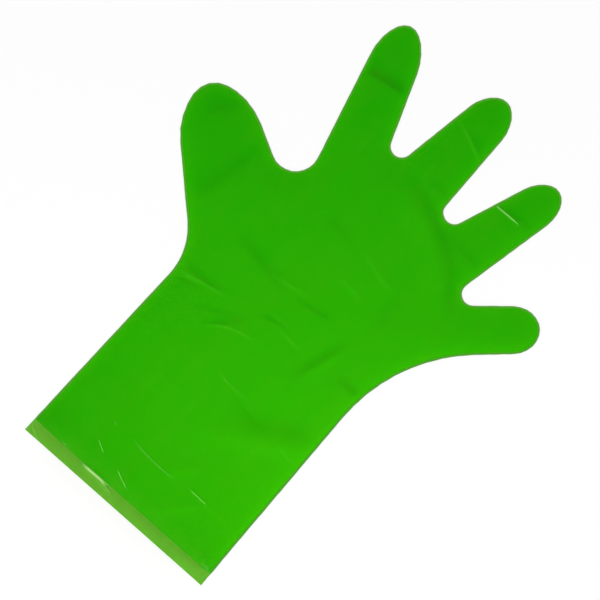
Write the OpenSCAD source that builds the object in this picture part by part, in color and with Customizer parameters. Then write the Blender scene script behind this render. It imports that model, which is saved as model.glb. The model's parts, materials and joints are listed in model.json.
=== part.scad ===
// Disposable film glove, lying flat: two plastic films welded to each other along the
// outline of a hand, and open at the cuff, where the lower film runs on as a lip.
// Each finger and the cuff is a segment that folds at a crease of the film.
// Units are millimetres. X runs across the hand, Y from the cuff to the fingers, Z up.

/* [Film] */
// Thickness of one film
film_t = 0.05; // [0.03:0.01:0.15]
// Width of the weld that joins the films along the outline
seal_w = 1.2; // [0.8:0.1:2]
// Height that the upper film stands over the lower one far from any weld
film_rise = 6.5; // [6:0.5:14]
// Distance from a weld over which the upper film takes most of that height
rise_run = 4.2; // [3:0.1:12]
// Gap between two segments at a fold
fold_gap = 0.3; // [0.1:0.05:0.6]

/* [Cuff] */
// Width of the cuff at its mouth
mouth_w = 125; // [115:1:140]
// Width of the glove at the wrist fold
wrist_w = 120; // [112:0.5:128]
// Length from the edge of the lip to the wrist fold
cuff_l = 108; // [70:1:112]
// Length of the lip, where the lower film runs on past the upper one
lip_l = 8; // [2:0.5:20]

/* [Hand] */
// Radius of the curve from the wrist to the little finger
heel_r = 95; // [70:1:100]
// Radius of the curve from the wrist to the thumb
thumb_heel_r = 37; // [25:1:40]
// Radius of the notches between the fingers
web_r = 6; // [4:0.5:7]
// Radius of the notch between the thumb and the index finger
thumb_web_r = 13; // [8:0.5:15]
// Length of each digit's root between its notch and its fold
root_l = 5; // [2:0.5:8]

/* [Thumb] */
// Root of the thumb, across from the middle of the cuff
thumb_x = -60.7; // [-64:0.1:-57]
// Root of the thumb, along from the edge of the lip
thumb_y = 166.5; // [163:0.5:172]
// Angle from the glove's long axis, clockwise
thumb_angle = -54.5; // [-58:0.5:-50]
// Length from the root to the tip
thumb_l = 62; // [56:0.5:70]
// Width at the root
thumb_root_w = 53.5; // [50:0.5:56]
// Width that the sides taper to at the tip
thumb_tip_w = 36.5; // [32:0.5:40]
// Length of the rounded tip
thumb_cap_l = 27; // [20:0.5:30]

/* [Index finger] */
// Root of the index finger, across from the middle of the cuff
index_x = -31.7; // [-34:0.1:-29]
// Root of the index finger, along from the edge of the lip
index_y = 235; // [232:0.5:238]
// Angle from the glove's long axis, clockwise
index_angle = -17.7; // [-20:0.1:-15]
// Length from the root to the tip
index_l = 64; // [56:0.5:74]
// Width at the root
index_root_w = 31.5; // [29:0.5:34]
// Width that the sides taper to at the tip
index_tip_w = 25; // [22:0.5:28]
// Length of the rounded tip
index_cap_l = 22.5; // [16:0.5:26]

/* [Middle finger] */
// Root of the middle finger, across from the middle of the cuff
middle_x = 9.3; // [7:0.1:11]
// Root of the middle finger, along from the edge of the lip
middle_y = 235.5; // [232:0.5:239]
// Angle from the glove's long axis, clockwise
middle_angle = 4.4; // [2:0.1:7]
// Length from the root to the tip
middle_l = 64.5; // [56:0.5:74]
// Width at the root
middle_root_w = 34; // [31:0.5:36]
// Width that the sides taper to at the tip
middle_tip_w = 22; // [20:0.5:26]
// Length of the rounded tip
middle_cap_l = 16; // [12:0.5:22]

/* [Ring finger] */
// Root of the ring finger, across from the middle of the cuff
ring_x = 49.2; // [47:0.1:51]
// Root of the ring finger, along from the edge of the lip
ring_y = 223; // [220:0.5:226]
// Angle from the glove's long axis, clockwise
ring_angle = 16.3; // [14:0.1:19]
// Length from the root to the tip
ring_l = 62; // [54:0.5:72]
// Width at the root
ring_root_w = 30; // [28:0.5:32]
// Width that the sides taper to at the tip
ring_tip_w = 20.5; // [18:0.5:24]
// Length of the rounded tip
ring_cap_l = 15; // [11:0.5:20]

/* [Little finger] */
// Root of the little finger, across from the middle of the cuff
little_x = 71.5; // [70:0.1:73]
// Root of the little finger, along from the edge of the lip
little_y = 188.8; // [186:0.1:191]
// Angle from the glove's long axis, clockwise
little_angle = 48.2; // [46:0.1:51]
// Length from the root to the tip
little_l = 48; // [44:0.5:58]
// Width at the root
little_root_w = 26.5; // [24:0.5:28]
// Width that the sides taper to at the tip
little_tip_w = 25; // [22:0.5:28]
// Length of the rounded tip
little_cap_l = 14; // [10:0.5:18]

/* [Hidden] */

// The weld is both films melted into one
seal_t = 2 * film_t;
// Steps across a digit and across the wrist
across_n = 12;
wrist_n = 20;
// Steps along a digit's straight side, round each side of its tip, and round a fillet
side_n = 5;
tip_n = 6;
fillet_n = 9;
// Steps from the palm's edge to its middle
palm_n = 10;
// Steps across the wrist and towards the palm's middle are closer near the edge, by this power
edge_spread = 2;
// Steps along the cuff
cuff_n = 6;

film_colour = [0.17, 0.68, 0.02];
lower_colour = [0.3, 0.7, 0.12];
seal_colour = [0.13, 0.52, 0.02];

// The digits in order round the hand, counter-clockwise from the cuff's right edge
LITTLE = 0;
RING = 1;
MIDDLE = 2;
INDEX = 3;
THUMB = 4;
digits = [LITTLE, RING, MIDDLE, INDEX, THUMB];
roots = [
    [little_x, little_y],
    [ring_x, ring_y],
    [middle_x, middle_y],
    [index_x, index_y],
    [thumb_x, thumb_y]
];
angles = [little_angle, ring_angle, middle_angle, index_angle, thumb_angle];
lengths = [little_l, ring_l, middle_l, index_l, thumb_l];
root_widths = [little_root_w, ring_root_w, middle_root_w, index_root_w, thumb_root_w];
tip_widths = [little_tip_w, ring_tip_w, middle_tip_w, index_tip_w, thumb_tip_w];
caps = [little_cap_l, ring_cap_l, middle_cap_l, index_cap_l, thumb_cap_l];

// The hand's seams. Seam k comes before digit k, and the last one after the thumb.
LAST_SEAM = len(digits);
seams = [0 : LAST_SEAM];
seam_radii = [heel_r, web_r, web_r, web_r, thumb_web_r, thumb_heel_r];

// Sides of the glove as seen from the cuff
RIGHT = 1;
LEFT = -1;

// Plane geometry

function left_of(d) = [-d[1], d[0]];
function unit(d) = d / norm(d);
function cross_2d(a, b) = a[0] * b[1] - a[1] * b[0];
// Where the line through p along u meets the line through q along v
function meet(p, u, q, v) = p + u * cross_2d(q - p, v) / cross_2d(u, v);
// The points of a run in the other order
function reversed(points) = [for (i = [len(points) - 1 : -1 : 0]) points[i]];

// Arc that rounds the notch between a path coming along u through p and leaving along v
// through q. The film is on the path's left, so the arc's centre is on its right.
function fillet(p, u, q, v, r) =
    let (
        centre = meet(p - r * left_of(u), u, q - r * left_of(v), v),
        start = atan2(left_of(u)[1], left_of(u)[0]),
        turn = atan2(cross_2d(u, v), u * v)
    )
    [for (i = [0 : fillet_n])
        let (a = start + turn * i / fillet_n)
        centre + r * [cos(a), sin(a)]];

// Digits. Each is a straight taper with an elliptical tip. An edge that lies "inset"
// inside the outline is that of a digit which is smaller by that much all round.

function heading(d) = [sin(angles[d]), cos(angles[d])];
function tip_station(d, inset) = lengths[d] - inset;
function cap_station(d) = lengths[d] - caps[d];
// Share of the straight taper's width that is left at a station in the rounded tip
function tip_share(d, s, inset) =
    let (into = max(0, s - cap_station(d)) / (tip_station(d, inset) - cap_station(d)))
    sqrt(max(0, 1 - into * into));
function half_width(d, s, inset) =
    let (
        root = root_widths[d] / 2,
        tip = tip_widths[d] / 2
    )
    (root + (tip - root) * s / lengths[d] - inset) * tip_share(d, s, inset);
// Point at station s, and at x from the left edge, -1, to the right edge, 1
function on_digit(d, s, x, inset) =
    roots[d] + s * heading(d) - x * half_width(d, s, inset) * left_of(heading(d));
// Direction of a straight side towards the tip
function side_heading(d, x, inset) = unit(on_digit(d, 1, x, inset) - on_digit(d, 0, x, inset));
// Stations round the tip, without the tip itself
function cap_stations(d, inset) =
    [for (i = [0 : tip_n - 1])
        cap_station(d) + (tip_station(d, inset) - cap_station(d)) * sin(90 * i / tip_n)];
function digit_tip(d, inset) = on_digit(d, tip_station(d, inset), 0, inset);
// Edge through the given stations up the right side, round the tip and down the left side
function digit_edge(d, stations, inset) = [
    for (s = stations) on_digit(d, s, RIGHT, inset),
    digit_tip(d, inset),
    for (s = reversed(stations)) on_digit(d, s, LEFT, inset)
];

// The cuff, a straight taper

function cuff_half_w(y, inset) = (mouth_w + (wrist_w - mouth_w) * y / cuff_l) / 2 - inset;
function on_cuff(y, x, inset) = [x * cuff_half_w(y, inset), y];
function cuff_heading(x) = unit(on_cuff(cuff_l, x, 0) - on_cuff(0, x, 0));

// Rounded part of a seam, from the side of one segment to the side of the next
function seam_fillet(k, inset) =
    let (
        p = k == 0 ? on_cuff(0, RIGHT, inset) : on_digit(k - 1, 0, LEFT, inset),
        u = k == 0 ? cuff_heading(RIGHT) : -side_heading(k - 1, LEFT, inset),
        q = k == LAST_SEAM ? on_cuff(0, LEFT, inset) : on_digit(k, 0, RIGHT, inset),
        v = k == LAST_SEAM ? -cuff_heading(LEFT) : side_heading(k, RIGHT, inset)
    )
    fillet(p, u, q, v, seam_radii[k] + inset);

// The whole welded edge, from the lip's right corner round the hand to its left corner
function weld_line(inset) = [
    on_cuff(0, RIGHT, inset),
    for (k = seams) each [
        each seam_fillet(k, inset),
        if (k < LAST_SEAM) each digit_edge(k, cap_stations(k, inset), inset)
    ],
    on_cuff(0, LEFT, inset)
];
outline = weld_line(0);
xs = [for (p = outline) p[0]];
ys = [for (p = outline) p[1]];
// The frame's origin is under the middle of the whole glove
origin = [(min(xs) + max(xs)) / 2, (min(ys) + max(ys)) / 2, 0];

// Folds. A digit's fold lies a root's length past the further of its two notches.

function station_of(d, p) = (p - roots[d]) * heading(d);
folds = [for (d = digits)
    let (
        before = station_of(d, seam_fillet(d, 0)[fillet_n]),
        after = station_of(d, seam_fillet(d + 1, 0)[0])
    )
    root_l + max(before, after)];
digit_starts = [for (s = folds) s + fold_gap / 2];
hand_ends = [for (s = folds) s - fold_gap / 2];
hand_start = cuff_l + fold_gap / 2;
cuff_end = cuff_l - fold_gap / 2;

// A seam of the hand from one fold to the next
function seam(k, inset) = [
    k == 0 ? on_cuff(hand_start, RIGHT, inset) : on_digit(k - 1, hand_ends[k - 1], LEFT, inset),
    each seam_fillet(k, inset),
    k == LAST_SEAM ? on_cuff(hand_start, LEFT, inset) : on_digit(k, hand_ends[k], RIGHT, inset)
];

// Height of the upper film

upper_edge = weld_line(seal_w);
on_weld = 1e-6;
far_more = 1e9;
// Weight of the stretch of weld from a to b as seen from p: its length over the square
// of its distance, summed along the stretch
function pull_of(p, a, b) =
    let (
        area = cross_2d(a - p, b - p),
        along = (a - p) * (b - p),
        angle = atan2(area, along) * PI / 180
    )
    abs(area) > on_weld ? norm(b - a) * angle / area
    : along > on_weld ? norm(b - a) / along
    : far_more;
// Smooth distance to the weld, which beside one long straight weld is the distance to it
function reach(p) =
    let (pulls = [for (i = [1 : len(upper_edge) - 1]) pull_of(p, upper_edge[i - 1], upper_edge[i])])
    PI / (pulls * [for (pull = pulls) 1]);
// Point on the underside of the upper film over a point of the plane
function risen(p) = [p[0], p[1], film_t + film_rise * (1 - exp(-reach(p) / rise_run))];
function welded(p) = [p[0], p[1], film_t];
// Places across a segment from the left edge, -1, to the right edge, 1. A spread over 1
// moves them towards both edges.
function steps(n, spread = 1) = [for (i = [0 : n])
    let (x = 2 * i / n - 1)
    sign(x) * (1 - pow(1 - abs(x), spread))];
// A row across a segment, which is welded at both ends
function risen_row(points) = [
    for (i = [0 : len(points) - 1])
        i == 0 || i == len(points) - 1 ? welded(points[i]) : risen(points[i])
];

function digit_stations(d, inset) = [
    for (i = [0 : side_n - 1])
        digit_starts[d] + (cap_station(d) - digit_starts[d]) * i / side_n,
    each cap_stations(d, inset)
];

// Middle of the hand's rings, low in the palm, where the whole edge of the hand is in sight
sight = 0.2;
palm_middle = [(index_x + ring_x) / 2, hand_start + sight * (middle_y - hand_start)];
// The hand's edge, counter-clockwise, along the seams and across the folds between them
palm_edge = [
    for (k = seams) each [
        each seam(k, seal_w),
        if (k < LAST_SEAM)
            for (x = steps(across_n))
                if (abs(x) < 1) on_digit(k, hand_ends[k], -x, seal_w)
    ],
    for (x = steps(wrist_n, edge_spread))
        if (abs(x) < 1) on_cuff(hand_start, x, seal_w)
];
function palm_ring(i) = [for (p = palm_edge)
    risen(palm_middle + (p - palm_middle) * (1 - pow(i / palm_n, edge_spread)))];

// Builders

module in_frame(colour) {
    color(colour) translate(-origin) children();
}

// A film as one closed sheet, given rows of points of its underside. In a row the next
// point is on the right, and the next row is ahead. An apex closes the last row to
// a point, and closed rows are rings.
module sheet(rows, apex = undef, closed = false) {
    n = len(rows[0]);
    m = len(rows);
    under = [
        for (row = rows) each row,
        if (apex != undef) apex
    ];
    count = len(under);
    tip = count - 1;
    last_j = closed ? n - 1 : n - 2;
    flat = [
        for (i = [0 : m - 2], j = [0 : last_j])
            let (
                a = i * n + j,
                b = i * n + (j + 1) % n
            )
            each [[a, b, b + n], [a, b + n, a + n]],
        if (apex != undef)
            for (j = [0 : last_j]) [(m - 1) * n + j, (m - 1) * n + (j + 1) % n, tip]
    ];
    rim = [
        for (j = [0 : n - 1]) j,
        if (!closed) each [
            for (i = [1 : m - 1]) i * n + n - 1,
            if (apex != undef) tip,
            if (apex == undef) for (j = [n - 2 : -1 : 1]) (m - 1) * n + j,
            for (i = [m - 1 : -1 : 1]) i * n
        ]
    ];
    edge = len(rim);
    polyhedron(
        points = [
            each under,
            for (p = under) p + [0, 0, film_t]
        ],
        faces = [
            each flat,
            for (f = flat) [f[0] + count, f[2] + count, f[1] + count],
            for (i = [0 : edge - 1])
                let (
                    a = rim[i],
                    b = rim[(i + 1) % edge]
                )
                each [[a, a + count, b + count], [a, b + count, b]]
        ],
        convexity = 4
    );
}

// A strip of weld between the outline and the films' edge that runs beside it
module weld(outer, inner) {
    linear_extrude(seal_t) polygon([each outer, each reversed(inner)]);
}

// Hand

module hand_lower_film() {
    in_frame(lower_colour) linear_extrude(film_t)
        polygon([for (k = seams) each seam(k, seal_w)]);
}

module hand_upper_film() {
    rings = [for (i = [0 : palm_n - 1]) palm_ring(i)];
    in_frame(film_colour) sheet(rings, apex = risen(palm_middle), closed = true);
}

module hand_seals(which) {
    in_frame(seal_colour) for (k = which) weld(seam(k, 0), seam(k, seal_w));
}

module heel_seals() {
    hand_seals([0, LAST_SEAM]);
}

module web_seals() {
    hand_seals([1 : LAST_SEAM - 1]);
}

// Cuff

module cuff_lower_film() {
    right = [
        on_cuff(0, RIGHT, 0),
        on_cuff(lip_l, RIGHT, 0),
        on_cuff(lip_l, RIGHT, seal_w),
        on_cuff(cuff_end, RIGHT, seal_w)
    ];
    left = [for (p = reversed(right)) [-p[0], p[1]]];
    in_frame(lower_colour) linear_extrude(film_t) polygon([each right, each left]);
}

module cuff_upper_film() {
    rows = [for (i = [0 : cuff_n])
        let (y = lip_l + (cuff_end - lip_l) * i / cuff_n)
        risen_row([for (x = steps(wrist_n, edge_spread)) on_cuff(y, x, seal_w)])];
    in_frame(film_colour) sheet(rows);
}

module cuff_seals() {
    in_frame(seal_colour) for (side = [LEFT, RIGHT]) weld(
        [for (y = [lip_l, cuff_end]) on_cuff(y, side, 0)],
        [for (y = [lip_l, cuff_end]) on_cuff(y, side, seal_w)]
    );
}

// Digits

module digit_lower_film(d) {
    in_frame(lower_colour) linear_extrude(film_t)
        polygon(digit_edge(d, digit_stations(d, seal_w), seal_w));
}

module digit_upper_film(d) {
    rows = [for (s = digit_stations(d, seal_w))
        risen_row([for (x = steps(across_n)) on_digit(d, s, x, seal_w)])];
    in_frame(film_colour) sheet(rows, apex = welded(digit_tip(d, seal_w)));
}

module digit_seal(d) {
    in_frame(seal_colour) weld(
        digit_edge(d, digit_stations(d, 0), 0),
        digit_edge(d, digit_stations(d, seal_w), seal_w)
    );
}

hand_lower_film();
hand_upper_film();
heel_seals();
web_seals();
cuff_lower_film();
cuff_upper_film();
cuff_seals();
digit_lower_film(THUMB);  // thumb_lower_film
digit_upper_film(THUMB);  // thumb_upper_film
digit_seal(THUMB);  // thumb_seal
digit_lower_film(INDEX);  // index_lower_film
digit_upper_film(INDEX);  // index_upper_film
digit_seal(INDEX);  // index_seal
digit_lower_film(MIDDLE);  // middle_lower_film
digit_upper_film(MIDDLE);  // middle_upper_film
digit_seal(MIDDLE);  // middle_seal
digit_lower_film(RING);  // ring_lower_film
digit_upper_film(RING);  // ring_upper_film
digit_seal(RING);  // ring_seal
digit_lower_film(LITTLE);  // little_lower_film
digit_upper_film(LITTLE);  // little_upper_film
digit_seal(LITTLE);  // little_seal
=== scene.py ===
import json
import math
from typing import NamedTuple

import bmesh
import bpy
import numpy as np
from mathutils import Matrix, Vector, kdtree, noise


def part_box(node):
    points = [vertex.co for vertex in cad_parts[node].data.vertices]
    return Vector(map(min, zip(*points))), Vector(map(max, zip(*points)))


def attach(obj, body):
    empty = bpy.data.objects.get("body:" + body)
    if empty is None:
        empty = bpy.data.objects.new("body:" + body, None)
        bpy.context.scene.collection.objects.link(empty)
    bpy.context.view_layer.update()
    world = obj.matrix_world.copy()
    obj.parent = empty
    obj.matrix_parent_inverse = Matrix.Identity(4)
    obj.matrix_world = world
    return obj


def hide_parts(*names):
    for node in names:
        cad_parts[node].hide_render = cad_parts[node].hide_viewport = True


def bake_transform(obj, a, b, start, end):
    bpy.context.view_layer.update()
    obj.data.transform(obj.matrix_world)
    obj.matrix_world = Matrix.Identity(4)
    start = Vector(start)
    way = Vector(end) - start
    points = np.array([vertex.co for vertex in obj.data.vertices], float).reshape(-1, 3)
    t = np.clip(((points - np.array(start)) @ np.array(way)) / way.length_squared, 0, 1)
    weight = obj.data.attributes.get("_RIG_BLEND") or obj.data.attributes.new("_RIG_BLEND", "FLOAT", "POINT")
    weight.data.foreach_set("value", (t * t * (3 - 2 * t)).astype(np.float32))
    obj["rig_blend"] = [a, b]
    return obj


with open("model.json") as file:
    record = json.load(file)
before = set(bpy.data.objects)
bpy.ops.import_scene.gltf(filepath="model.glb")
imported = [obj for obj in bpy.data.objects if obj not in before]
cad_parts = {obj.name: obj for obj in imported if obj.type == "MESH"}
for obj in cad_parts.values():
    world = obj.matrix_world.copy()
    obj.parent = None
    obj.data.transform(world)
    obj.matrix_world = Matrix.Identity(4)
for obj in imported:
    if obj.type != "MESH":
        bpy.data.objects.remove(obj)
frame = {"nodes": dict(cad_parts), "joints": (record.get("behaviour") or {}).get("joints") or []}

bl_info = {
    "name": "Film glove",
    "version": (1, 0, 0),
    "blender": (4, 5, 0),
    "location": "3D View > Sidebar > Glove",
    "description": "Dresses a disposable glove of two welded plastic films",
    "category": "Object",
}

MM = 0.001
UP = Vector((0, 0, 1))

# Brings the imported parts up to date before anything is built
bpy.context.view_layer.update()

# The bodies of the frame. Each finger, the thumb and the cuff folds against the hand.
DIGITS = ("thumb", "index", "middle", "ring", "little")
BODIES = ("hand", "cuff") + DIGITS
FOLDS = {joint["child"]: joint for joint in frame["joints"]}

FILM_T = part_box("hand_lower_film")[1].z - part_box("hand_lower_film")[0].z
# The upper film ends here, and the lower one runs on as a lip
MOUTH_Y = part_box("cuff_upper_film")[0].y

# Vertices closer than this are one vertex
SAME_PLACE = 0.001 * MM
# Vertices on the two sides of a fold lie this close, and no others do
FOLD_REACH = 0.4 * MM
# Share of a mesh step below which a film's cuts fall together
SLIVER_SHARE = 0.1
# Layer that marks each face of a film with its body's number
BODY_MARK = "body"
# Attribute of the welds, 0 beside the films and 1 along the cut edge
EDGE_SHARE = "edge_share"
# Attribute of the upper films that carries painted light and shade: above 0 where the ridge of a fold or the
# edge by the welds is painted paler, below 0 where a valley or the mouth is painted in shade
PAINTED_LIGHT_AND_SHADE = "painted_light_and_shade"
# Attribute of the films, from 0 to 1 where a painted highlight lies along a crease; it partly stands for
# film turned pale there
CREASE_GLINT_PAINT = "crease_glint_paint"
# Edges that turn by more than this are rims, and smaller turns are shaded smooth
RIM_ANGLE = math.radians(60)
# The frame's nodes that each body's weld stands for
WELD_NODES = {"hand": ("heel_seals", "web_seals"), "cuff": ("cuff_seals",)}
WELD_NODES.update({digit: (f"{digit}_seal",) for digit in DIGITS})


class Crease(NamedTuple):
    """A line along which a film was once folded. Lengths are millimetres in the frame's plane."""

    place: str
    start: tuple
    end: tuple
    half_w: float
    height: float
    bow: float = 0.0
    # How much wider one flank is: seen along the line, a ridge's right one or a valley's left one
    gentle: float = 1.0
    # How strong the painted highlight along the line is, from 0 to 1; it partly stands for film turned pale
    # there
    glint_paint: float = 0.0


# Sharp creases have straight flanks, and the pale line along them is a painted highlight that partly stands
# for whitened film
SHARP_CREASES = (
    Crease("cuff, long line", (-17, -114.5), (18, -116.3), 0.8, 0.45, -1.6, glint_paint=0.13),
    Crease("cuff, short line beside it", (24.5, -115.4), (39.5, -115.8), 0.9, 0.55, glint_paint=0.24),
    Crease("cuff, near the mouth", (-11, -132.1), (2, -137.7), 0.8, 0.5, -0.4, glint_paint=0.3),
    Crease("cuff, left of that", (-29, -127), (-20, -131.8), 0.7, 0.4, glint_paint=0.27),
    Crease("cuff, fleck", (-28.4, -114.3), (-25.2, -115.8), 0.7, 0.4, glint_paint=0.18),
    Crease("mouth, left nick", (-42, -141), (-37.5, -141.2), 0.7, 0.4, glint_paint=0.24),
    Crease("mouth, right nick", (56, -141), (61, -140.4), 0.8, 0.45, glint_paint=0.18),
    Crease("ring finger", (41, 104.9), (66, 105.2), 1.1, 0.7, glint_paint=0.45),
    Crease("lower palm, fine line", (-5, -58.8), (18, -60.2), 0.9, 0.45, glint_paint=0.05),
    Crease("heel, fine line", (43.5, -66.3), (60, -70.4), 0.9, 0.2, glint_paint=0.04),
)

# Soft creases are low rounded ridges, or valleys where the height is negative. In the upper film's colour
# their ridges also get painted light and their valleys painted shade, and a few get a faint painted
# highlight
SOFT_CREASES = (
    Crease("finger roots, ridge", (-10, 78), (66, 30), 4.0, 1.2, 14.5, 2.2),
    Crease("finger roots, valley", (-8, 87), (73, 35), 3.2, -1.2, 15.0),
    Crease("index finger, joint", (-59, 112.5), (-22, 119.3), 1.3, -1.4, 0.0, 3.6),
    Crease("index finger, near the tip", (-58, 119), (-48, 120.5), 1.5, -0.7, 0.0, 2.2),
    Crease("middle finger, first ray", (1, 126.8), (31, 114.6), 1.1, 0.6, glint_paint=0.025),
    Crease("middle finger, second ray", (8.5, 127.2), (27, 119), 1.0, -0.35, 0.0, 2.2),
    Crease("ring finger, beside its crease", (46, 108.4), (72, 108.4), 1.8, -0.8),
    Crease("ring finger, root", (43, 76.5), (65, 74.3), 1.6, -0.7, 0.0, 2.2),
    Crease("middle finger, root", (8, 92), (28, 91.8), 1.8, -0.7, 0.0, 2.2),
    Crease("thumb, root", (-78, -1), (-67, 46), 3.5, -1.4, 0.0, 2.2),
    Crease("thumb, tip", (-102, 40), (-88, 60), 2.5, -1.1, 0.0, 2.2),
    Crease("heel of the thumb, ridge", (-60, -33.2), (-26, -26), 1.2, 0.55, 0.3, glint_paint=0.025),
    Crease("heel of the thumb, valley over it", (-60, -26), (-28, -24), 1.3, -0.55, -1.6, 2.2),
    Crease("heel of the thumb, valley under it", (-61, -38), (-41, -31), 1.0, -0.4),
    Crease("heel of the thumb, short ridge", (-51, -15), (-37, -7.5), 0.9, 0.4),
    Crease("palm, long valley", (-49, 3.3), (-4, -3.7), 2.4, -1.15, 1.5, 2.2),
    Crease("palm, ridge beside the long valley", (-21, -2.2), (5, 2.7), 1.2, 0.45, glint_paint=0.02),
    Crease("palm, end of the long valley", (-1, -2.8), (25, 2.2), 1.0, -0.6, 0.0, 2.2),
    Crease("palm, low ridge", (-28, -47), (4, -34.5), 1.0, 0.5, 4.2, glint_paint=0.035),
    Crease("palm, valley over it", (-29, -46), (-11, -28.5), 1.0, -0.5, 0.0, 2.2),
    Crease("palm, upper valley", (-40, -42), (-8, -26.5), 1.1, -0.5, 0.0, 2.2),
    Crease("palm, short valley", (-10, -21.7), (11, -15.2), 1.1, -0.55, 0.0, 2.2),
    Crease("palm, ridge beside it", (-4, -17.5), (10, -15.1), 0.8, 0.35, glint_paint=0.025),
    Crease("palm, short ridge", (5, -20.5), (21, -21.6), 0.9, 0.4, glint_paint=0.03),
    Crease("palm, valley to the little finger", (25, -38), (37, 2), 2.2, -1.0),
    Crease("palm, ridge to the little finger", (30, -36), (41, 0), 2.6, 0.7),
    Crease("palm, under the middle finger", (8, 42.5), (42, 34), 1.6, 0.6, -2.0, glint_paint=0.01),
    Crease("palm, under the index finger", (-19, 41.9), (6, 39.1), 1.6, -0.6, 0.0, 2.2),
    Crease("palm, middle", (8, 21.7), (30, 19.7), 1.3, 0.5, glint_paint=0.02),
    Crease("palm, under the ring finger", (43.6, 13), (42.7, 38), 2.0, -0.6, 0.0, 2.2),
    Crease("heel, valley", (42, -19.3), (67, -18.8), 1.5, -1.0, 0.0, 2.2),
    Crease("lower palm, line after the fine one", (1, -61.5), (46, -68.8), 1.0, -0.25),
    Crease("lower palm, broad valley", (10, -72), (62, -48), 4.5, -1.4, 0.0, 2.2),
    Crease("lower palm, broad ridge", (3, -93), (64, -57), 5.0, 1.2),
    Crease("cuff, end of the short line", (34, -116.1), (60, -116.7), 1.2, 0.5),
    Crease("cuff, ridge to the mouth", (17, -139), (38, -117), 1.8, 0.8),
    Crease("cuff, over the long line", (10.5, -118), (24.5, -102), 2.4, 0.8),
)

# Waves of the lip, where the lower film lies alone. The wave at the mouth, the streak and the left corner
# carry a painted highlight
LIP_CREASES = (
    Crease("lip, wave at the mouth", (-28, -143.4), (-6, -143), 1.9, 1.0, glint_paint=1),
    Crease("lip, streak", (-14, -143.2), (-2, -145.8), 1.1, 0.6, glint_paint=0.3),
    Crease("lip, low wave", (10, -145.5), (34, -146), 2.2, 0.4),
    Crease("lip, right end", (40, -146), (61, -145), 2.4, 0.5),
    Crease("lip, left corner", (-61.5, -143.8), (-48.5, -150), 0.8, 0.6, -0.5, glint_paint=0.18),
)


class GLOVE_PG_films(bpy.types.PropertyGroup):
    """Sizes of the films and their welds"""

    film_t: bpy.props.FloatProperty(
        name="Film thickness",
        description="Thickness of one film",
        default=FILM_T,
        min=0.01 * MM,
        precision=6,
        subtype="DISTANCE",
        unit="LENGTH",
    )
    film_rise: bpy.props.FloatProperty(
        name="Rise",
        description="Height that the upper film stands over the lower one far from any weld",
        default=4.8 * MM,
        precision=5,
        subtype="DISTANCE",
        unit="LENGTH",
    )
    rise_run: bpy.props.FloatProperty(
        name="Rise run",
        description="Distance from a weld over which the upper film takes most of its rise",
        default=12 * MM,
        precision=5,
        subtype="DISTANCE",
        unit="LENGTH",
    )
    upper_step: bpy.props.FloatProperty(
        name="Upper film step",
        description="Size of the upper film's mesh faces",
        default=1.3 * MM,
        precision=5,
        subtype="DISTANCE",
        unit="LENGTH",
    )
    lower_step: bpy.props.FloatProperty(
        name="Lower film step",
        description="Size of the lower film's mesh faces",
        default=2.6 * MM,
        precision=5,
        subtype="DISTANCE",
        unit="LENGTH",
    )
    fold_run: bpy.props.FloatProperty(
        name="Fold run",
        description="Length of a finger over which a fold bends",
        default=14 * MM,
        precision=5,
        subtype="DISTANCE",
        unit="LENGTH",
    )
    wrist_run: bpy.props.FloatProperty(
        name="Wrist run",
        description="Length of the cuff over which the wrist's fold bends",
        default=25 * MM,
        precision=5,
        subtype="DISTANCE",
        unit="LENGTH",
    )
    slack_h: bpy.props.FloatProperty(
        name="Slack",
        description="Height of the low waves in the loose upper film",
        default=0.6 * MM,
        precision=5,
        subtype="DISTANCE",
        unit="LENGTH",
    )
    slack_run: bpy.props.FloatProperty(
        name="Slack run",
        description="Distance between the low waves of the upper film",
        default=26 * MM,
        precision=5,
        subtype="DISTANCE",
        unit="LENGTH",
    )
    flare_h: bpy.props.FloatProperty(
        name="Mouth flare",
        description="Height that the upper film turns up at the edge of the open mouth",
        default=2.2 * MM,
        precision=5,
        subtype="DISTANCE",
        unit="LENGTH",
    )
    flare_run: bpy.props.FloatProperty(
        name="Mouth flare run",
        description="Length of the cuff over which the upper film turns up",
        default=9 * MM,
        precision=5,
        subtype="DISTANCE",
        unit="LENGTH",
    )
    bead_h: bpy.props.FloatProperty(
        name="Bead",
        description="Height of the melted bead over the weld",
        default=0.12 * MM,
        precision=6,
        subtype="DISTANCE",
        unit="LENGTH",
    )
    bead_wander: bpy.props.FloatProperty(
        name="Bead wander",
        description="Distance that the cut edge strays from its line",
        default=0.15 * MM,
        precision=6,
        subtype="DISTANCE",
        unit="LENGTH",
    )


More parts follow.
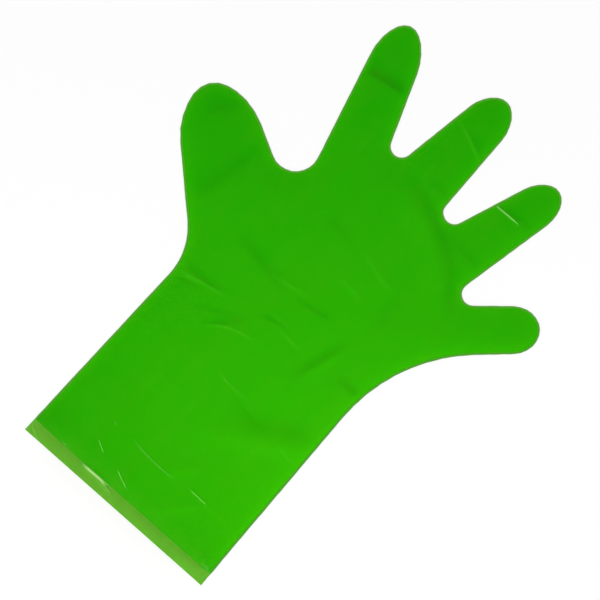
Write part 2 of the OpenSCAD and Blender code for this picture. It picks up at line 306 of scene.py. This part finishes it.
class GLOVE_PG_colours(bpy.types.PropertyGroup):
    """Colours of the films, the welds and the stage"""

    pale_green: bpy.props.FloatVectorProperty(
        name="Pale green",
        description="Colour of the film at the little finger's side of the cuff, where it is palest",
        default=(0.037, 0.8, 0.0),
        subtype="COLOR",
        min=0,
        max=1,
    )
    deep_green: bpy.props.FloatVectorProperty(
        name="Deep green",
        description="Colour of the film at the thumb and the fingertips, where it is deepest",
        default=(0.001, 0.612, 0.0),
        subtype="COLOR",
        min=0,
        max=1,
    )
    through: bpy.props.FloatVectorProperty(
        name="Seen through",
        description="Tint of what is seen through one face of the film",
        default=(0.972, 0.913, 0.687),
        subtype="COLOR",
        min=0,
        max=1,
    )
    cover: bpy.props.FloatProperty(
        name="Cover",
        description="Share of the light that one face of the film stops",
        default=0.4,
        min=0,
        max=1,
        subtype="FACTOR",
    )
    lower_tone: bpy.props.FloatProperty(
        name="Lower film tone",
        description="Brightness of the lower film's green against the upper one's",
        default=0.85,
        min=0,
        max=1,
        subtype="FACTOR",
    )
    streak: bpy.props.FloatVectorProperty(
        name="Streaks",
        description="Tint of the faint streaks along the film",
        default=(0.95, 0.975, 1.0),
        subtype="COLOR",
        min=0,
        max=1,
    )
    # Colour of the painted highlight along the creases, partly standing for film turned pale there
    crease_glint_paint: bpy.props.FloatVectorProperty(
        name="Pale creases",
        description="Colour of the film along its sharpest creases",
        default=(0.72, 0.98, 0.42),
        subtype="COLOR",
        min=0,
        max=1,
    )
    weld_green: bpy.props.FloatVectorProperty(
        name="Weld green",
        description="Colour of the weld beside the films",
        default=(0.055, 0.365, 0.007),
        subtype="COLOR",
        min=0,
        max=1,
    )
    edge_olive: bpy.props.FloatVectorProperty(
        name="Cut edge",
        description="Colour of the melted bead along the cut edge",
        default=(0.09, 0.38, 0.02),
        subtype="COLOR",
        min=0,
        max=1,
    )
    floor_white: bpy.props.FloatVectorProperty(
        name="Floor",
        description="Colour of the floor",
        default=(0.995, 0.995, 0.995),
        subtype="COLOR",
        min=0,
        max=1,
    )


class GLOVE_PG_stage(bpy.types.PropertyGroup):
    """Light and view of the stage. A light level of 1 renders a colour as it is written."""

    sky_level: bpy.props.FloatProperty(
        name="Sky",
        description="Light level of the even sky",
        default=0.76,
        min=0,
    )
    key_level: bpy.props.FloatProperty(
        name="Key lamp",
        description="Light level of the large soft lamp",
        default=0.28,
        min=0,
    )
    glint_level: bpy.props.FloatProperty(
        name="Glint lamp",
        description="Brightness of the lamp that shines on the gloss and adds nothing else",
        default=4,
        min=0,
    )
    view_w: bpy.props.FloatProperty(
        name="View width",
        description="Width of the floor that the camera takes in",
        default=318.66 * MM,
        precision=5,
        subtype="DISTANCE",
        unit="LENGTH",
    )


# Reading the frame


def fold_of(body):
    """Middle of a body's fold, and the direction in which the body runs on from it."""
    joint = FOLDS[body]
    return Vector(joint["pos_m"]), UP.cross(Vector(joint["axis"]))


def follow(piece, body, films):
    """Lets a piece ride on the hand, or bend from the hand into the body past that body's fold."""
    if body == "hand":
        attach(piece, body)
        return
    start, ahead = fold_of(body)
    run = films.wrist_run if body == "cuff" else films.fold_run
    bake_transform(piece, "hand", body, start=start, end=start + run * ahead)


# Film meshes


def film_plan():
    """The lower films of the frame as one flat sheet, joined at the folds, each face marked."""
    facing_up = 0.5
    bm = bmesh.new()
    mark = bm.faces.layers.int.new(BODY_MARK)
    for number, body in enumerate(BODIES):
        known = len(bm.faces)
        bm.from_mesh(frame["nodes"][f"{body}_lower_film"].data)
        bm.faces.ensure_lookup_table()
        for face in bm.faces[known:]:
            face[mark] = number
    bmesh.ops.remove_doubles(bm, verts=bm.verts, dist=SAME_PLACE)
    bm.normal_update()
    beside = [face for face in bm.faces if face.normal.z < facing_up]
    bmesh.ops.delete(bm, geom=beside, context="FACES")
    bmesh.ops.scale(bm, vec=(1, 1, 0), verts=bm.verts)
    for number in range(len(BODIES)):
        bmesh.ops.dissolve_faces(bm, faces=[face for face in bm.faces if face[mark] == number])
    bmesh.ops.remove_doubles(bm, verts=bm.verts, dist=FOLD_REACH)
    return bm


def everything(bm):
    return [*bm.verts, *bm.edges, *bm.faces]


def cut_grid(bm, step):
    """Cuts a flat sheet into squares of about that size."""
    for axis in (0, 1):
        across = Vector((0, 0, 0))
        across[axis] = 1
        places = [vert.co[axis] for vert in bm.verts]
        low, high = min(places), max(places)
        count = round((high - low) / step)
        for k in range(1, count):
            at = low + (high - low) * k / count
            bmesh.ops.bisect_plane(
                bm,
                geom=everything(bm),
                dist=SLIVER_SHARE * step,
                plane_co=at * across,
                plane_no=across,
            )


def clear_slivers(bm, step):
    """Closes the narrow faces where a fold passes close to a corner of the squares."""
    bmesh.ops.dissolve_degenerate(bm, dist=SLIVER_SHARE * step, edges=bm.edges)


def weld_stretches(bm):
    """Ends of each straight stretch of the welded edge, which leaves out the open mouth."""
    stretches = []
    for edge in bm.edges:
        a, b = (vert.co for vert in edge.verts)
        open_edge = max(a.y, b.y) < MOUTH_Y + SAME_PLACE and abs(b.x - a.x) > abs(b.y - a.y)
        if edge.is_boundary and not open_edge:
            stretches.append((np.array(a.xy), np.array(b.xy)))
    return stretches


def weld_reach(points, stretches):
    """Smooth distance of each point from the welds: beside a long straight weld, the distance to it."""
    on_weld = 1e-12
    pull = np.zeros(len(points))
    for a, b in stretches:
        u = a - points
        v = b - points
        area = u[:, 0] * v[:, 1] - u[:, 1] * v[:, 0]
        along = (u * v).sum(axis=1)
        beside = np.abs(area) > on_weld
        ahead = along > on_weld
        turn = np.arctan2(area, along) / np.where(beside, area, 1)
        in_line = np.where(ahead, 1 / np.where(ahead, along, 1), 1 / on_weld)
        pull += np.linalg.norm(b - a) * np.where(beside, turn, in_line)
    return math.pi / pull


def along_crease(points, crease):
    """How far along a crease each point lies, from 0 to 1, and its distance from it."""
    start = MM * np.array(crease.start)
    course = MM * np.array(crease.end) - start
    length = np.linalg.norm(course)
    from_start = points - start
    share = from_start @ course / length**2
    side = (course[0] * from_start[:, 1] - course[1] * from_start[:, 0]) / length
    return share, side - MM * crease.bow * 4 * share * (1 - share)


def smooth_step(x):
    x = np.clip(x, 0, 1)
    return x * x * (3 - 2 * x)


def crease_ends(share):
    """1 along most of a crease, and less towards its two ends."""
    fade = 0.3
    return smooth_step(np.minimum(share, 1 - share) / fade)


def crease_shape(points, crease, straight):
    """Share of a crease's full height at each point. Its flanks are rounded or straight."""
    share, side = along_crease(points, crease)
    wider = np.where(side * crease.height < 0, crease.gentle, 1)
    away = np.abs(side) / (MM * crease.half_w * wider)
    flank = np.clip(1 - away, 0, 1) if straight else np.exp(-(away**2))
    return flank * crease_ends(share)


def crease_heights(points, creases, straight=False):
    """Height that creases add to a film at each point."""
    heights = np.zeros(len(points))
    for crease in creases:
        heights += MM * crease.height * crease_shape(points, crease, straight)
    return heights


def crease_painted_shades(points, creases):
    """Painted light and shade that soft creases give a film: steep ridges are painted palest, as if lit, and
    steep valleys deepest, as painted shade.
    """
    painted_shades = np.zeros(len(points))
    for crease in creases:
        painted_shades += crease.height / crease.half_w * crease_shape(points, crease, straight=False)
    return painted_shades


def crease_glint_paints(points, creases):
    """Strength of the painted highlight at each point along the middle of a film's creases, partly standing
    for film turned pale.
    """
    line_share = 0.6
    glint_paints = np.zeros(len(points))
    for crease in creases:
        share, side = along_crease(points, crease)
        line = 1 - np.abs(side) / (line_share * MM * crease.half_w)
        glint_paints += crease.glint_paint * np.clip(line, 0, 1) * crease_ends(share)
    return np.clip(glint_paints, 0, 1)


def slack_heights(points, height, run):
    """Low waves of a loose film, the same on every run."""
    fade, finer, layers = 1.0, 2.0, 2
    places = [Vector((x, y, 0)) / run for x, y in points]
    return height * np.array([noise.fractal(place, fade, finer, layers) for place in places])


def refine_creases(bm, creases, cuts):
    """Cuts the faces under creases finer, so that the film can take their shape."""
    half_widths = 2
    past_end = 0.05
    centres = np.array([face.calc_center_median().xy for face in bm.faces])
    near = np.zeros(len(centres), bool)
    for crease in creases:
        share, side = along_crease(centres, crease)
        beside = np.abs(side) < half_widths * MM * crease.half_w
        near |= beside & (share > -past_end) & (share < 1 + past_end)
    chosen = [face for face, is_near in zip(bm.faces, near) if is_near]
    edges = dict.fromkeys(edge for face in chosen for edge in face.edges)
    bmesh.ops.subdivide_edges(bm, edges=list(edges), cuts=cuts, use_grid_fill=True)


def fan_out(bm):
    """Splits faces of many corners, or with a corner along a straight side, around their middle."""
    straight = math.radians(175)
    uneven = []
    for face in bm.faces:
        corners = [loop.calc_angle() for loop in face.loops]
        if len(corners) > 4 or (len(corners) == 4 and max(corners) > straight):
            uneven.append(face)
    bmesh.ops.poke(bm, faces=uneven)


def mark_verts(bm, name, values):
    """Keeps a value of each vertex in an attribute, for the materials."""
    layer = bm.verts.layers.float.new(name)
    for vert, value in zip(bm.verts, values):
        vert[layer] = value


def lift(bm, heights):
    for vert, height in zip(bm.verts, heights):
        vert.co.z = height


def plan_points(bm):
    return np.array([vert.co.xy for vert in bm.verts])


def body_piece(bm, number):
    """The part of a film that belongs to one body, as a copy."""
    piece = bm.copy()
    mark = piece.faces.layers.int[BODY_MARK]
    others = [face for face in piece.faces if face[mark] != number]
    bmesh.ops.delete(piece, geom=others, context="FACES")
    return piece


def flat_size(bm, body):
    """Width and length of a film's flat cut along its own body, and the cut's area."""
    ahead = Vector((0, 1, 0)) if body == "hand" else fold_of(body)[1]
    side = ahead.cross(UP)
    spans = []
    for axis in (side, ahead):
        places = [vert.co.dot(axis) for vert in bm.verts]
        spans.append(max(places) - min(places))
    return spans, sum(face.calc_area() for face in bm.faces)


def new_piece(name, bm, material):
    """Makes an object of a finished mesh, smooth apart from its rims."""
    bm.normal_update()
    for face in bm.faces:
        face.smooth = True
    for edge in bm.edges:
        edge.smooth = edge.calc_face_angle(0) < RIM_ANGLE
    mesh = bpy.data.meshes.new(name)
    bm.to_mesh(mesh)
    bm.free()
    mesh.materials.append(material)
    piece = bpy.data.objects.new(name, mesh)
    bpy.context.scene.collection.objects.link(piece)
    return piece


def film_pieces(plan, film, side, films, material):
    """Splits a shaped film into the bodies' pieces, gives each its thickness, sets it to follow its body,
    and hides the frame's film that it stands for.
    """
    for number, body in enumerate(BODIES):
        cut = body_piece(plan, number)
        (width, length), area = flat_size(cut, body)
        cut.free()
        shell = body_piece(film, number)
        bmesh.ops.solidify(shell, geom=shell.faces[:], thickness=films.film_t)
        piece = new_piece(f"{body}_{side}", shell, material)
        follow(piece, body, films)
        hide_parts(f"{body}_{side}_film")


# Weld meshes


def nearest(points):
    """A tree that finds the nearest of some points."""
    tree = kdtree.KDTree(len(points))
    for number, point in enumerate(points):
        tree.insert((point.x, point.y, 0), number)
    tree.balance()
    return tree


def weld_plan():
    """The welds as flat strips around the films, each face marked with its body."""
    weld_rows = 8
    bm = film_plan()
    mark = bm.faces.layers.int[BODY_MARK]
    share = bm.verts.layers.float.new(EDGE_SHARE)
    films = bm.faces[:]
    past_mouth = MOUTH_Y + SAME_PLACE
    welded = [
        edge
        for edge in bm.edges
        if edge.is_boundary and max(vert.co.y for vert in edge.verts) > past_mouth
    ]
    film_edge = nearest([vert.co for edge in welded for vert in edge.verts])
    outer = []
    for node in sum(WELD_NODES.values(), ()):
        for vert in frame["nodes"][node].data.vertices:
            place = Vector((vert.co.x, vert.co.y, 0))
            if film_edge.find(place)[2] > FOLD_REACH:
                outer.append(place)
    cut_edge = nearest(outer)
    made = bmesh.ops.extrude_edge_only(bm, edges=welded)["geom"]
    for face in made:
        if isinstance(face, bmesh.types.BMFace):
            inside = [near for edge in face.edges for near in edge.link_faces if near in films]
            face[mark] = inside[0][mark]
    for vert in made:
        if isinstance(vert, bmesh.types.BMVert):
            vert.co = cut_edge.find(vert.co)[0]
            vert[share] = 1
    bmesh.ops.delete(bm, geom=films, context="FACES")
    across = [edge for edge in bm.edges if edge.verts[0][share] != edge.verts[1][share]]
    bmesh.ops.subdivide_edges(bm, edges=across, cuts=weld_rows - 1, use_grid_fill=True)
    return bm


def melt(bm, films):
    """Lifts a weld's strips to their thickness, with a wandering bead along the cut edge."""
    bead_at = 0.85
    bead_half = 0.15
    wander_run = 4 * MM
    wander_seed = 1
    noise.seed_set(wander_seed)
    share = bm.verts.layers.float[EDGE_SHARE]
    for vert in bm.verts:
        vert.co += vert[share] * films.bead_wander * noise.noise_vector(vert.co / wander_run)
        off = (vert[share] - bead_at) / bead_half
        vert.co.z = 2 * films.film_t + films.bead_h * math.sqrt(max(0, 1 - off**2))


def stand_on_floor(bm):
    """Closes a sheet into a solid that reaches down to the floor."""
    made = bmesh.ops.extrude_face_region(bm, geom=bm.faces[:], use_keep_orig=True)["geom"]
    for vert in made:
        if isinstance(vert, bmesh.types.BMVert):
            vert.co.z = 0
    bmesh.ops.recalc_face_normals(bm, faces=bm.faces)


# Materials


class Nodes:
    """A material's node tree, with short calls that add and link nodes."""

    def __init__(self, name):
        self.material = bpy.data.materials.new(name)
        self.material.use_nodes = True
        self.tree = self.material.node_tree
        self.tree.nodes.clear()

    def add(self, kind, **values):
        node = self.tree.nodes.new(kind)
        for key, value in values.items():
            setattr(node, key, value)
        return node

    def link(self, out, into):
        self.tree.links.new(out, into)

    def noise(self, place, scale, stretch=(1, 1, 1), detail=2):
        """Noise over a place, drawn out along the axes whose stretch is below 1."""
        mapping = self.add("ShaderNodeMapping")
        mapping.inputs["Scale"].default_value = stretch
        self.link(place, mapping.inputs["Vector"])
        cloud = self.add("ShaderNodeTexNoise")
        cloud.inputs["Scale"].default_value = scale
        cloud.inputs["Detail"].default_value = detail
        self.link(mapping.outputs[0], cloud.inputs["Vector"])
        return cloud.outputs["Fac"]

    def spread(self, value, low, high):
        """Stretches a noise, which mostly lies between 0.3 and 0.7, over a range."""
        ranged = self.add("ShaderNodeMapRange")
        ranged.inputs["From Min"].default_value = 0.3
        ranged.inputs["From Max"].default_value = 0.7
        ranged.inputs["To Min"].default_value = low
        ranged.inputs["To Max"].default_value = high
        self.link(value, ranged.inputs["Value"])
        return ranged.outputs["Result"]


def film_material(name, colours, tone=1):
    """See-through green film: deeper away from the cuff, with faint streaks, a soft gloss, painted light and
    shade from an attribute, and painted highlights along the creases.
    """
    palest_at = MM * Vector((70, -80, 0))
    deepest_away = 230 * MM
    painted_shade_share = 0.5
    cover_spread = 0.02
    nodes = Nodes(name)
    place = nodes.add("ShaderNodeTexCoord")
    away = nodes.add("ShaderNodeVectorMath", operation="DISTANCE")
    away.inputs[1].default_value = palest_at
    nodes.link(place.outputs["Object"], away.inputs[0])
    depth = nodes.add("ShaderNodeMapRange")
    depth.inputs["From Max"].default_value = deepest_away
    nodes.link(away.outputs["Value"], depth.inputs["Value"])
    # Painted light and shade from the attribute shifts the green towards its pale or its deep end
    painted_shade = nodes.add("ShaderNodeAttribute", attribute_name=PAINTED_LIGHT_AND_SHADE)
    shift = nodes.add("ShaderNodeMath", operation="MULTIPLY_ADD")
    shift.inputs[1].default_value = -painted_shade_share
    nodes.link(painted_shade.outputs["Fac"], shift.inputs[0])
    nodes.link(depth.outputs["Result"], shift.inputs[2])
    green = nodes.add("ShaderNodeMix", data_type="RGBA", clamp_factor=False)
    green.inputs["A"].default_value = (*(tone * Vector(colours.pale_green)), 1)
    green.inputs["B"].default_value = (*(tone * Vector(colours.deep_green)), 1)
    nodes.link(shift.outputs[0], green.inputs["Factor"])

    streaks = nodes.noise(place.outputs["Object"], scale=90, stretch=(1, 0.15, 1), detail=3)
    streaked = nodes.add("ShaderNodeMix", data_type="RGBA", blend_type="MULTIPLY")
    streaked.inputs["B"].default_value = (*colours.streak, 1)
    nodes.link(nodes.spread(streaks, 0, 1), streaked.inputs["Factor"])
    nodes.link(green.outputs["Result"], streaked.inputs["A"])

    # Painted highlight along the creases: the colour turns towards the highlight colour
    glint_paint = nodes.add("ShaderNodeAttribute", attribute_name=CREASE_GLINT_PAINT).outputs["Fac"]
    creased = nodes.add("ShaderNodeMix", data_type="RGBA")
    creased.inputs["B"].default_value = (*colours.crease_glint_paint, 1)
    nodes.link(glint_paint, creased.inputs["Factor"])
    nodes.link(streaked.outputs["Result"], creased.inputs["A"])

    gloss = nodes.add("ShaderNodeBsdfPrincipled")
    gloss.inputs["Specular IOR Level"].default_value = 0.2
    gloss.inputs["Specular Tint"].default_value = (0.7, 1, 0.2, 1)
    nodes.link(creased.outputs["Result"], gloss.inputs["Base Color"])
    rub = nodes.noise(place.outputs["Object"], scale=140, detail=4)
    nodes.link(nodes.spread(rub, 0.14, 0.24), gloss.inputs["Roughness"])
    crinkle = nodes.noise(place.outputs["Object"], scale=420, detail=3)
    bump = nodes.add("ShaderNodeBump")
    bump.inputs["Strength"].default_value = 0.1
    bump.inputs["Distance"].default_value = 0.2 * MM
    nodes.link(crinkle, bump.inputs["Height"])
    nodes.link(bump.outputs["Normal"], gloss.inputs["Normal"])

    through = nodes.add("ShaderNodeBsdfTransparent")
    through.inputs["Color"].default_value = (*colours.through, 1)
    both = nodes.add("ShaderNodeMixShader")
    cover = nodes.add("ShaderNodeMix", data_type="FLOAT")
    least, most = colours.cover - cover_spread, colours.cover + cover_spread
    nodes.link(nodes.spread(streaks, least, most), cover.inputs["A"])
    cover.inputs["B"].default_value = 1
    # Along the painted highlight the face also stops more light
    nodes.link(glint_paint, cover.inputs["Factor"])
    nodes.link(cover.outputs["Result"], both.inputs["Fac"])
    nodes.link(through.outputs[0], both.inputs[1])
    nodes.link(gloss.outputs[0], both.inputs[2])
    out = nodes.add("ShaderNodeOutputMaterial")
    nodes.link(both.outputs[0], out.inputs["Surface"])
    return nodes.material


def weld_material(name, colours):
    """Melted weld: both films in one, with a darker bead along the cut edge."""
    nodes = Nodes(name)
    share = nodes.add("ShaderNodeAttribute", attribute_name=EDGE_SHARE)
    green = nodes.add("ShaderNodeMix", data_type="RGBA")
    green.inputs["A"].default_value = (*colours.weld_green, 1)
    green.inputs["B"].default_value = (*colours.edge_olive, 1)
    nodes.link(share.outputs["Fac"], green.inputs["Factor"])
    gloss = nodes.add("ShaderNodeBsdfPrincipled")
    gloss.inputs["Roughness"].default_value = 0.3
    gloss.inputs["Specular IOR Level"].default_value = 0.3
    nodes.link(green.outputs["Result"], gloss.inputs["Base Color"])
    out = nodes.add("ShaderNodeOutputMaterial")
    nodes.link(gloss.outputs[0], out.inputs["Surface"])
    return nodes.material


def floor_material(colours):
    nodes = Nodes("floor_white")
    plain = nodes.add("ShaderNodeBsdfDiffuse")
    plain.inputs["Color"].default_value = (*colours.floor_white, 1)
    out = nodes.add("ShaderNodeOutputMaterial")
    nodes.link(plain.outputs[0], out.inputs["Surface"])
    return nodes.material


# Light


def sky(level):
    """An even sky. Gloss sees it only near the horizon, so that no haze lies on flat film."""
    gloss_power = 6
    world = bpy.data.worlds.new("studio")
    world.use_nodes = True
    tree = world.node_tree

    def calculate(operation, *values):
        node = tree.nodes.new("ShaderNodeMath")
        node.operation = operation
        for socket, value in zip(node.inputs, values):
            if isinstance(value, bpy.types.NodeSocket):
                tree.links.new(value, socket)
            else:
                socket.default_value = value
        return node.outputs[0]

    place = tree.nodes.new("ShaderNodeTexCoord")
    split = tree.nodes.new("ShaderNodeSeparateXYZ")
    tree.links.new(place.outputs["Generated"], split.inputs[0])
    height = split.outputs["Z"]
    ray = tree.nodes.new("ShaderNodeLightPath").outputs
    low = calculate("SUBTRACT", 1, calculate("MULTIPLY", height, height))
    seen = calculate("POWER", low, calculate("MULTIPLY", ray["Is Glossy Ray"], gloss_power))
    white = calculate("MULTIPLY", ray["Is Camera Ray"], 1 - level)
    bright = calculate("MULTIPLY_ADD", seen, level, white)
    tree.links.new(bright, tree.nodes["Background"].inputs["Strength"])
    tree.nodes["Background"].inputs["Color"].default_value = (1, 1, 1, 1)
    return world


def add_lamp(name, towards, elevation, distance, size):
    """An area lamp aimed at the glove from a compass direction and an elevation in degrees."""
    rise = math.radians(elevation)
    lamp = bpy.data.objects.new(name, bpy.data.lights.new(name, "AREA"))
    lamp.data.shape = "RECTANGLE"
    lamp.data.size, lamp.data.size_y = size
    back = math.cos(rise) * towards.normalized() + math.sin(rise) * UP
    lamp.rotation_euler = back.to_track_quat("Z", "Y").to_euler()
    lamp.location = distance * back
    lamp.visible_camera = False
    bpy.context.scene.collection.objects.link(lamp)
    return lamp


# Operators


class GLOVE_OT_upper_films(bpy.types.Operator):
    """Builds the upper films, which rise from the welds and carry the creases"""

    bl_idname = "glove.upper_films"
    bl_label = "Upper films"

    def execute(self, context):
        hold_run = 4 * MM
        painted_edge_light_run = 2.5 * MM
        mouth_painted_shade = 1.1
        films = context.scene.glove_films
        plan = film_plan()
        stretches = weld_stretches(plan)
        cut_grid(plan, films.upper_step)
        bmesh.ops.bisect_plane(
            plan,
            geom=everything(plan),
            dist=SAME_PLACE,
            plane_co=(0, MOUTH_Y, 0),
            plane_no=(0, -1, 0),
            clear_outer=True,
        )
        clear_slivers(plan, films.upper_step)
        stray = [edge for edge in plan.edges if edge.is_wire]
        bmesh.ops.delete(plan, geom=stray, context="EDGES")
        film = plan.copy()
        refine_creases(film, SOFT_CREASES, cuts=2)
        refine_creases(film, SHARP_CREASES, cuts=3)
        fan_out(film)
        points = plan_points(film)
        reach = weld_reach(points, stretches)
        rise = films.film_rise * (1 - np.exp(-reach / films.rise_run))
        flare = films.flare_h * np.exp((MOUTH_Y - points[:, 1]) / films.flare_run)
        held = smooth_step(reach / hold_run)
        # The last term paints a paler band along the welds: painted light that offsets the shade on the film
        # where it rises from them
        painted_shades = held * crease_painted_shades(points, SOFT_CREASES) + np.exp(-reach / painted_edge_light_run)
        # A band of painted shade runs along the mouth, where the upper film turns up
        mark_verts(film, PAINTED_LIGHT_AND_SHADE, painted_shades - mouth_painted_shade * flare / films.flare_h)
        # Painted highlights along the creases, partly standing for film turned pale there
        mark_verts(film, CREASE_GLINT_PAINT, crease_glint_paints(points, SHARP_CREASES + SOFT_CREASES))
        loose = flare + slack_heights(points, films.slack_h, films.slack_run)
        loose += crease_heights(points, SOFT_CREASES)
        loose += crease_heights(points, SHARP_CREASES, straight=True)
        lift(film, 2 * films.film_t + rise + held * loose)
        film.normal_update()
        material = film_material("upper_film", context.scene.glove_colours)
        film_pieces(plan, film, "upper", films, material)
        plan.free()
        film.free()
        return {"FINISHED"}


class GLOVE_OT_lower_films(bpy.types.Operator):
    """Builds the lower films, which lie flat and run on past the mouth as a lip"""

    bl_idname = "glove.lower_films"
    bl_label = "Lower films"

    def execute(self, context):
        lip_hold = 1 * MM
        films = context.scene.glove_films
        plan = film_plan()
        cut_grid(plan, films.lower_step)
        clear_slivers(plan, films.lower_step)
        film = plan.copy()
        refine_creases(film, LIP_CREASES, cuts=6)
        fan_out(film)
        points = plan_points(film)
        free = smooth_step((MOUTH_Y + lip_hold - points[:, 1]) / lip_hold)
        lift(film, films.film_t + free * crease_heights(points, LIP_CREASES))
        # Painted highlights on the lip's waves
        mark_verts(film, CREASE_GLINT_PAINT, free * crease_glint_paints(points, LIP_CREASES))
        film.normal_update()
        colours = context.scene.glove_colours
        material = film_material("lower_film", colours, colours.lower_tone)
        film_pieces(plan, film, "lower", films, material)
        plan.free()
        film.free()
        return {"FINISHED"}


class GLOVE_OT_welds(bpy.types.Operator):
    """Builds the melted welds along the outline, with a bead on the cut edge"""

    bl_idname = "glove.welds"
    bl_label = "Welds"

    def execute(self, context):
        films = context.scene.glove_films
        material = weld_material("weld", context.scene.glove_colours)
        plan = weld_plan()
        cut_grid(plan, films.lower_step)
        melt(plan, films)
        for number, body in enumerate(BODIES):
            strip = body_piece(plan, number)
            stand_on_floor(strip)
            piece = new_piece(f"{body}_weld", strip, material)
            follow(piece, body, films)
            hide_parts(*WELD_NODES[body])
        plan.free()
        return {"FINISHED"}


class GLOVE_OT_stage(bpy.types.Operator):
    """Sets the floor, the light and the camera straight above the glove"""

    bl_idname = "glove.stage"
    bl_label = "Stage"

    def execute(self, context):
        floor_half = 4
        floor_drop = 0.05 * MM
        scene = context.scene
        bm = bmesh.new()
        bmesh.ops.create_grid(bm, x_segments=1, y_segments=1, size=floor_half)
        bmesh.ops.translate(bm, vec=-floor_drop * UP, verts=bm.verts)
        floor = new_piece("floor", bm, floor_material(scene.glove_colours))

        settings = scene.glove_stage
        scene.world = sky(settings.sky_level)
        key = add_lamp(
            "key_lamp",
            towards=Vector((0.55, -0.835, 0)),
            elevation=45,
            distance=3.6,
            size=(2.4, 2.4),
        )
        floor_share = key.location.z / key.location.length**3
        key.data.energy = math.pi**2 * settings.key_level / floor_share
        key.visible_glossy = False
        glint = add_lamp(
            "glint_lamp",
            towards=Vector((-0.22, -0.97, 0)),
            elevation=30,
            distance=1.2,
            size=(1.2, 0.4),
        )
        glint.data.energy = math.pi * settings.glint_level * glint.data.size * glint.data.size_y
        glint.visible_diffuse = False

        # The camera looks straight down, with the glove turned in its view
        across = Vector((0.7485, 0.6631, 0))
        upright = UP.cross(across)
        aim = MM * Vector((3.07, -1.62, 0))
        lens = 200
        sensor = 36
        camera = bpy.data.objects.new("camera", bpy.data.cameras.new("camera"))
        camera.data.lens = lens
        camera.data.sensor_width = sensor
        camera.data.clip_end = 50
        camera.matrix_world = Matrix((across, upright, UP)).transposed().to_4x4()
        camera.location = aim + settings.view_w * lens / sensor * UP
        scene.collection.objects.link(camera)
        scene.camera = camera
        scene.view_settings.view_transform = "Standard"
        return {"FINISHED"}


class GLOVE_PT_sidebar(bpy.types.Panel):
    """Lists the glove's settings and the operators that build it"""

    bl_idname = "GLOVE_PT_sidebar"
    bl_label = "Film glove"
    bl_space_type = "VIEW_3D"
    bl_region_type = "UI"
    bl_category = "Glove"

    def draw(self, context):
        scene = context.scene
        for group in (scene.glove_films, scene.glove_colours, scene.glove_stage):
            box = self.layout.box()
            for key in group.bl_rna.properties.keys():
                if key not in {"rna_type", "name"}:
                    box.prop(group, key)
        for operator in OPERATORS:
            self.layout.operator(operator.bl_idname)


OPERATORS = (
    GLOVE_OT_stage,
    GLOVE_OT_lower_films,
    GLOVE_OT_upper_films,
    GLOVE_OT_welds,
)
CLASSES = (GLOVE_PG_films, GLOVE_PG_colours, GLOVE_PG_stage, *OPERATORS, GLOVE_PT_sidebar)


def register():
    for kind in CLASSES:
        bpy.utils.register_class(kind)
    bpy.types.Scene.glove_films = bpy.props.PointerProperty(type=GLOVE_PG_films)
    bpy.types.Scene.glove_colours = bpy.props.PointerProperty(type=GLOVE_PG_colours)
    bpy.types.Scene.glove_stage = bpy.props.PointerProperty(type=GLOVE_PG_stage)


def unregister():
    del bpy.types.Scene.glove_stage
    del bpy.types.Scene.glove_colours
    del bpy.types.Scene.glove_films
    for kind in reversed(CLASSES):
        bpy.utils.unregister_class(kind)


def main():
    register()
    bpy.ops.glove.stage()
    bpy.ops.glove.lower_films()
    bpy.ops.glove.upper_films()
    bpy.ops.glove.welds()


if __name__ == "__main__":
    main()
